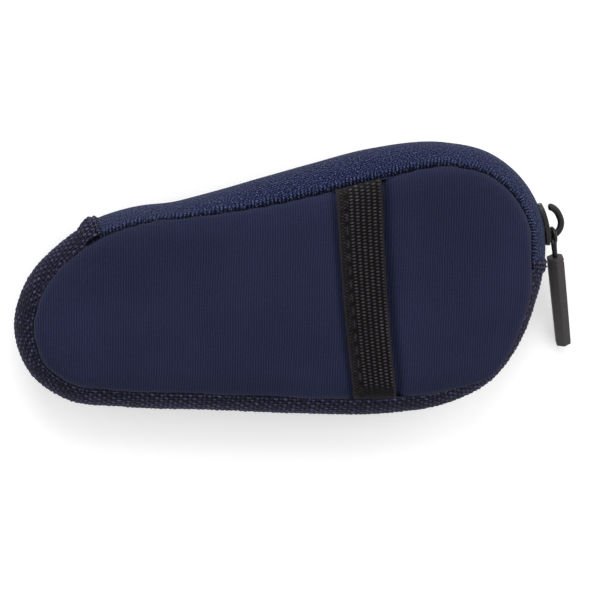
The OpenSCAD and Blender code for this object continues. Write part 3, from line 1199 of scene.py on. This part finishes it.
def make_plate(name, low, high, cup):
    """A slider plate between two radii: narrower towards its tail, and cupped to follow the gusset."""
    piece = block(name, 7)
    for vertex in piece.data.vertices:
        x, y, z = vertex.co
        shoulder = 1 - 0.16 * max(0.0, y) - 0.10 * abs(y) ** 6
        tip = 1 - 0.10 * abs(z) ** 4
        radius = low + (high - low) * (x + 1) / 2 - cup * z * z - 0.25 * max(0.0, abs(y) - 0.6) * (x + 1)
        vertex.co = round_lobe(radius, y * PLATE_LEN / 2 * tip, z * PLATE_W / 2 * shoulder)
    apply_modifier(piece, "BEVEL", width=0.28 * MM, segments=3, limit_method="ANGLE",
                   angle_limit=math.radians(40))
    return piece


outer_plate = make_plate("outer_plate", LOBE_R + 0.25, OUTER_FACE, 0.7)
inner_plate = make_plate("inner_plate", INNER_TOP - PLATE_THICK, INNER_TOP, 0.15)
wedge = block("wedge", 3)
for vertex in wedge.data.vertices:
    x, y, z = vertex.co
    taper = 1 - 0.6 * (y + 1) / 2
    vertex.co = round_lobe(INNER_TOP - 0.3 + (LOBE_R + 0.9 - INNER_TOP) * (x + 1) / 2,
                           -4.0 + y * 1.8, z * 0.5 * taper)


# %% Slider hook
def tube(name, steps, sides, centre, radius, frame_at):
    """A closed tube: centre(u), radius(u), and frame_at(u) giving its two cross directions."""
    def place(u, v):
        a = 2 * math.pi * (v % 1.0)
        first, second = frame_at(u)
        return centre(u) + (first * math.cos(a) + second * math.sin(a)) * radius(u) * MM

    piece = strip(name, steps, sides, place, 1, 1, close=True)
    fill_holes(piece)
    face_out(piece)
    return piece


HOOK_FROM, HOOK_SWEEP = math.radians(-98), math.radians(176)
hook_centre = round_lobe(OUTER_FACE, 0, 0)
outwards = Vector((math.cos(SLIDER_ANGLE), math.sin(SLIDER_ANGLE), 0))
up_zip = Vector((-outwards.y, outwards.x, 0))
upright = Vector((0, 0, 1))


def hook_arm(u):
    a = HOOK_FROM + HOOK_SWEEP * u
    return outwards * math.cos(a) + up_zip * math.sin(a)


def hook_reach(u):
    """The hook is round where the puller hangs and swings, and stretches out towards its tip."""
    share = min(1.0, max(0.0, (u - 0.62) / 0.38))
    return HOOK_R + 0.85 * share * share * (3 - 2 * share)


def hook_radius(u):
    body = HOOK_WIRE * (1.0 + 0.10 * max(0.0, u - 0.6) / 0.4)
    tip = max(0.0, (u - 0.95) / 0.05)
    return body * math.sqrt(max(0.02, 1 - 0.8 * tip**2))


hook = tube("hook", 64, 24, lambda u: hook_centre + hook_arm(u) * hook_reach(u) * MM, hook_radius,
            lambda u: (hook_arm(u), upright))
slider = join([outer_plate, inner_plate, wedge, hook], "slider_body")
face_out(slider)
smooth(slider, 35)
dress(slider, slider_paint)
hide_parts("slider_body")
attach(slider, "slider")
print("slider faces:", len(slider.data.polygons))

# %% [markdown]
# ## Puller
# A wire eye loops round the hook and its stem runs down into a six-sided rubber grip. The grip is a
# strip closed into six-sided rings, with a groove near the eye and a slight taper, and bevelled.

# %% Puller
EYE_ANGLE = math.radians(-64)
EYE_R, EYE_WIRE = 2.0, 0.6
GRIP_HEADING, GRIP_DROOP = math.radians(-77), math.radians(20)
STEM_LEN, GRIP_LEN = 6.8, 28.8

eye_arm = Vector((math.cos(EYE_ANGLE), math.sin(EYE_ANGLE), 0))
eye_centre = hook_centre + eye_arm * HOOK_R * MM
down_puller = Vector((math.cos(GRIP_HEADING) * math.cos(GRIP_DROOP),
                      math.sin(GRIP_HEADING) * math.cos(GRIP_DROOP), -math.sin(GRIP_DROOP)))
puller_side = down_puller.cross(upright).normalized()
puller_top = puller_side.cross(down_puller).normalized()


select_none()
bpy.ops.mesh.primitive_torus_add(major_segments=40, minor_segments=16,
                                 major_radius=EYE_R * MM, minor_radius=EYE_WIRE * MM)
ring = bpy.context.object
eye_way = Vector((math.cos(GRIP_HEADING), math.sin(GRIP_HEADING), 0))
ring_place = basis(eye_centre, eye_way, upright, eye_way.cross(upright))
for vertex in ring.data.vertices:
    vertex.co = ring_place @ vertex.co
stem = tube("stem", 16, 16,
            lambda u: eye_centre + down_puller * (EYE_R - 0.1 + (STEM_LEN + 1.5 - EYE_R) * u) * MM,
            lambda u: 0.72 + 0.22 * (1 - u) ** 3, lambda u: (puller_side, puller_top))
eye = join([ring, stem], "puller_eye")
face_out(eye)
smooth(eye, 40)
dress(eye, slider_paint)
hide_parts("puller_eye")
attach(eye, "puller")

# %% Grip
GRIP_RINGS = [(0, 2.15), (0.2, 2.5), (0.5, 2.6), (0.9, 2.6), (1.05, 2.42), (1.35, 2.42), (1.5, 2.6),
              (10, 2.55), (20, 2.48), (28, 2.4), (28.6, 2.36), (28.8, 2.1)]
GRIP_ROLL = math.radians(8)


def place_grip(u, v):
    along, radius = GRIP_RINGS[round(v * (len(GRIP_RINGS) - 1))]
    a = 2 * math.pi * (u % 1.0) + GRIP_ROLL
    out = puller_top * math.cos(a) + puller_side * math.sin(a)
    return eye_centre + (down_puller * (STEM_LEN + along) + out * radius) * MM


grip = strip("puller_grip", 6, len(GRIP_RINGS) - 1, place_grip, 16, GRIP_LEN, close=True)
fill_holes(grip)
face_out(grip)
apply_modifier(grip, "BEVEL", width=0.16 * MM, segments=3, limit_method="ANGLE",
               angle_limit=math.radians(35))
face_out(grip)
smooth(grip, 30)
dress(grip, grip_rubber)
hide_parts("puller_grip")
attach(grip, "puller")
print("grip faces:", len(grip.data.polygons))

# %% [markdown]
# ## Finishes on the remaining CAD pieces
# The two zip stops keep their CAD shape and take the coil's finish. The foam is hidden inside the
# covers, which stand for it.

# %% CAD pieces that stay
for name in ("zip_stop_left", "zip_stop_right"):
    dress(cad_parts[name], coil_plastic)
print("stops finished")
